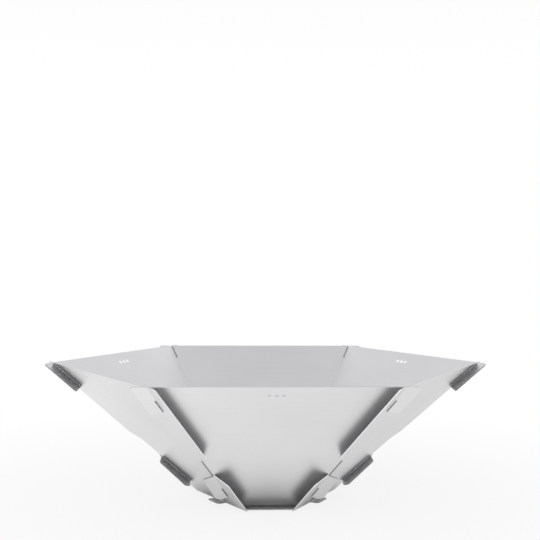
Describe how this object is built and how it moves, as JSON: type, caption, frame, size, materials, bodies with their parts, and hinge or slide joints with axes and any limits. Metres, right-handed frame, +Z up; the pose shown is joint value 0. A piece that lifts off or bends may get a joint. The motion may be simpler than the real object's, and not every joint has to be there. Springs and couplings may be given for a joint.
{
  "type": "fire pit",
  "caption": "Flat-pack hexagonal fire bowl of flat steel sheets that plug into each other through slits and stand round a loose floor plate.",
  "frame": {"origin": "centre of the floor plate's underside, on the ground the bowl stands on", "axes": "+Z up, front panel facing -Y, +X to the right seen from the front"},
  "size_m": [0.5552, 0.4949, 0.168],
  "materials": {
    "plate_steel": "satin brushed stainless steel",
    "tabbed_panel_steel": "satin brushed stainless steel",
    "winged_panel_steel": "satin brushed stainless steel"
  },
  "bodies": {
    "floor": {"base_plate": "plate_steel"},
    "front": {"front_panel": "tabbed_panel_steel"},
    "rear_left": {"rear_left_panel": "tabbed_panel_steel"},
    "rear_right": {"rear_right_panel": "tabbed_panel_steel"},
    "left": {"left_panel": "winged_panel_steel"},
    "right": {"right_panel": "winged_panel_steel"},
    "rear": {"rear_panel": "winged_panel_steel"}
  },
  "joints": [
    {"name": "front_lift", "type": "slide", "parent": "floor", "child": "front", "axis": [0, -0.223, 0.9748], "range_m": [0, 0.06247]},
    {"name": "rear_left_lift", "type": "slide", "parent": "floor", "child": "rear_left", "axis": [-0.1931, 0.1115, 0.9748], "range_m": [0, 0.06247]},
    {"name": "rear_right_lift", "type": "slide", "parent": "floor", "child": "rear_right", "axis": [0.1931, 0.1115, 0.9748], "range_m": [0, 0.06247]},
    {"name": "left_lift", "type": "slide", "parent": "floor", "child": "left", "axis": [0.2848, 0.1644, 0.9444], "range_m": [0, 0.04237]},
    {"name": "right_lift", "type": "slide", "parent": "floor", "child": "right", "axis": [-0.2848, 0.1644, 0.9444], "range_m": [0, 0.04237]},
    {"name": "rear_lift", "type": "slide", "parent": "floor", "child": "rear", "axis": [0, -0.3288, 0.9444], "range_m": [0, 0.04237]}
  ],
  "couplings": [
    {"joint": "rear_left_lift", "follows": "front_lift", "ratio": 1},
    {"joint": "rear_right_lift", "follows": "front_lift", "ratio": 1},
    {"joint": "left_lift", "follows": "front_lift", "ratio": 0.67807},
    {"joint": "right_lift", "follows": "front_lift", "ratio": 0.67807},
    {"joint": "rear_lift", "follows": "front_lift", "ratio": 0.67807}
  ]
}
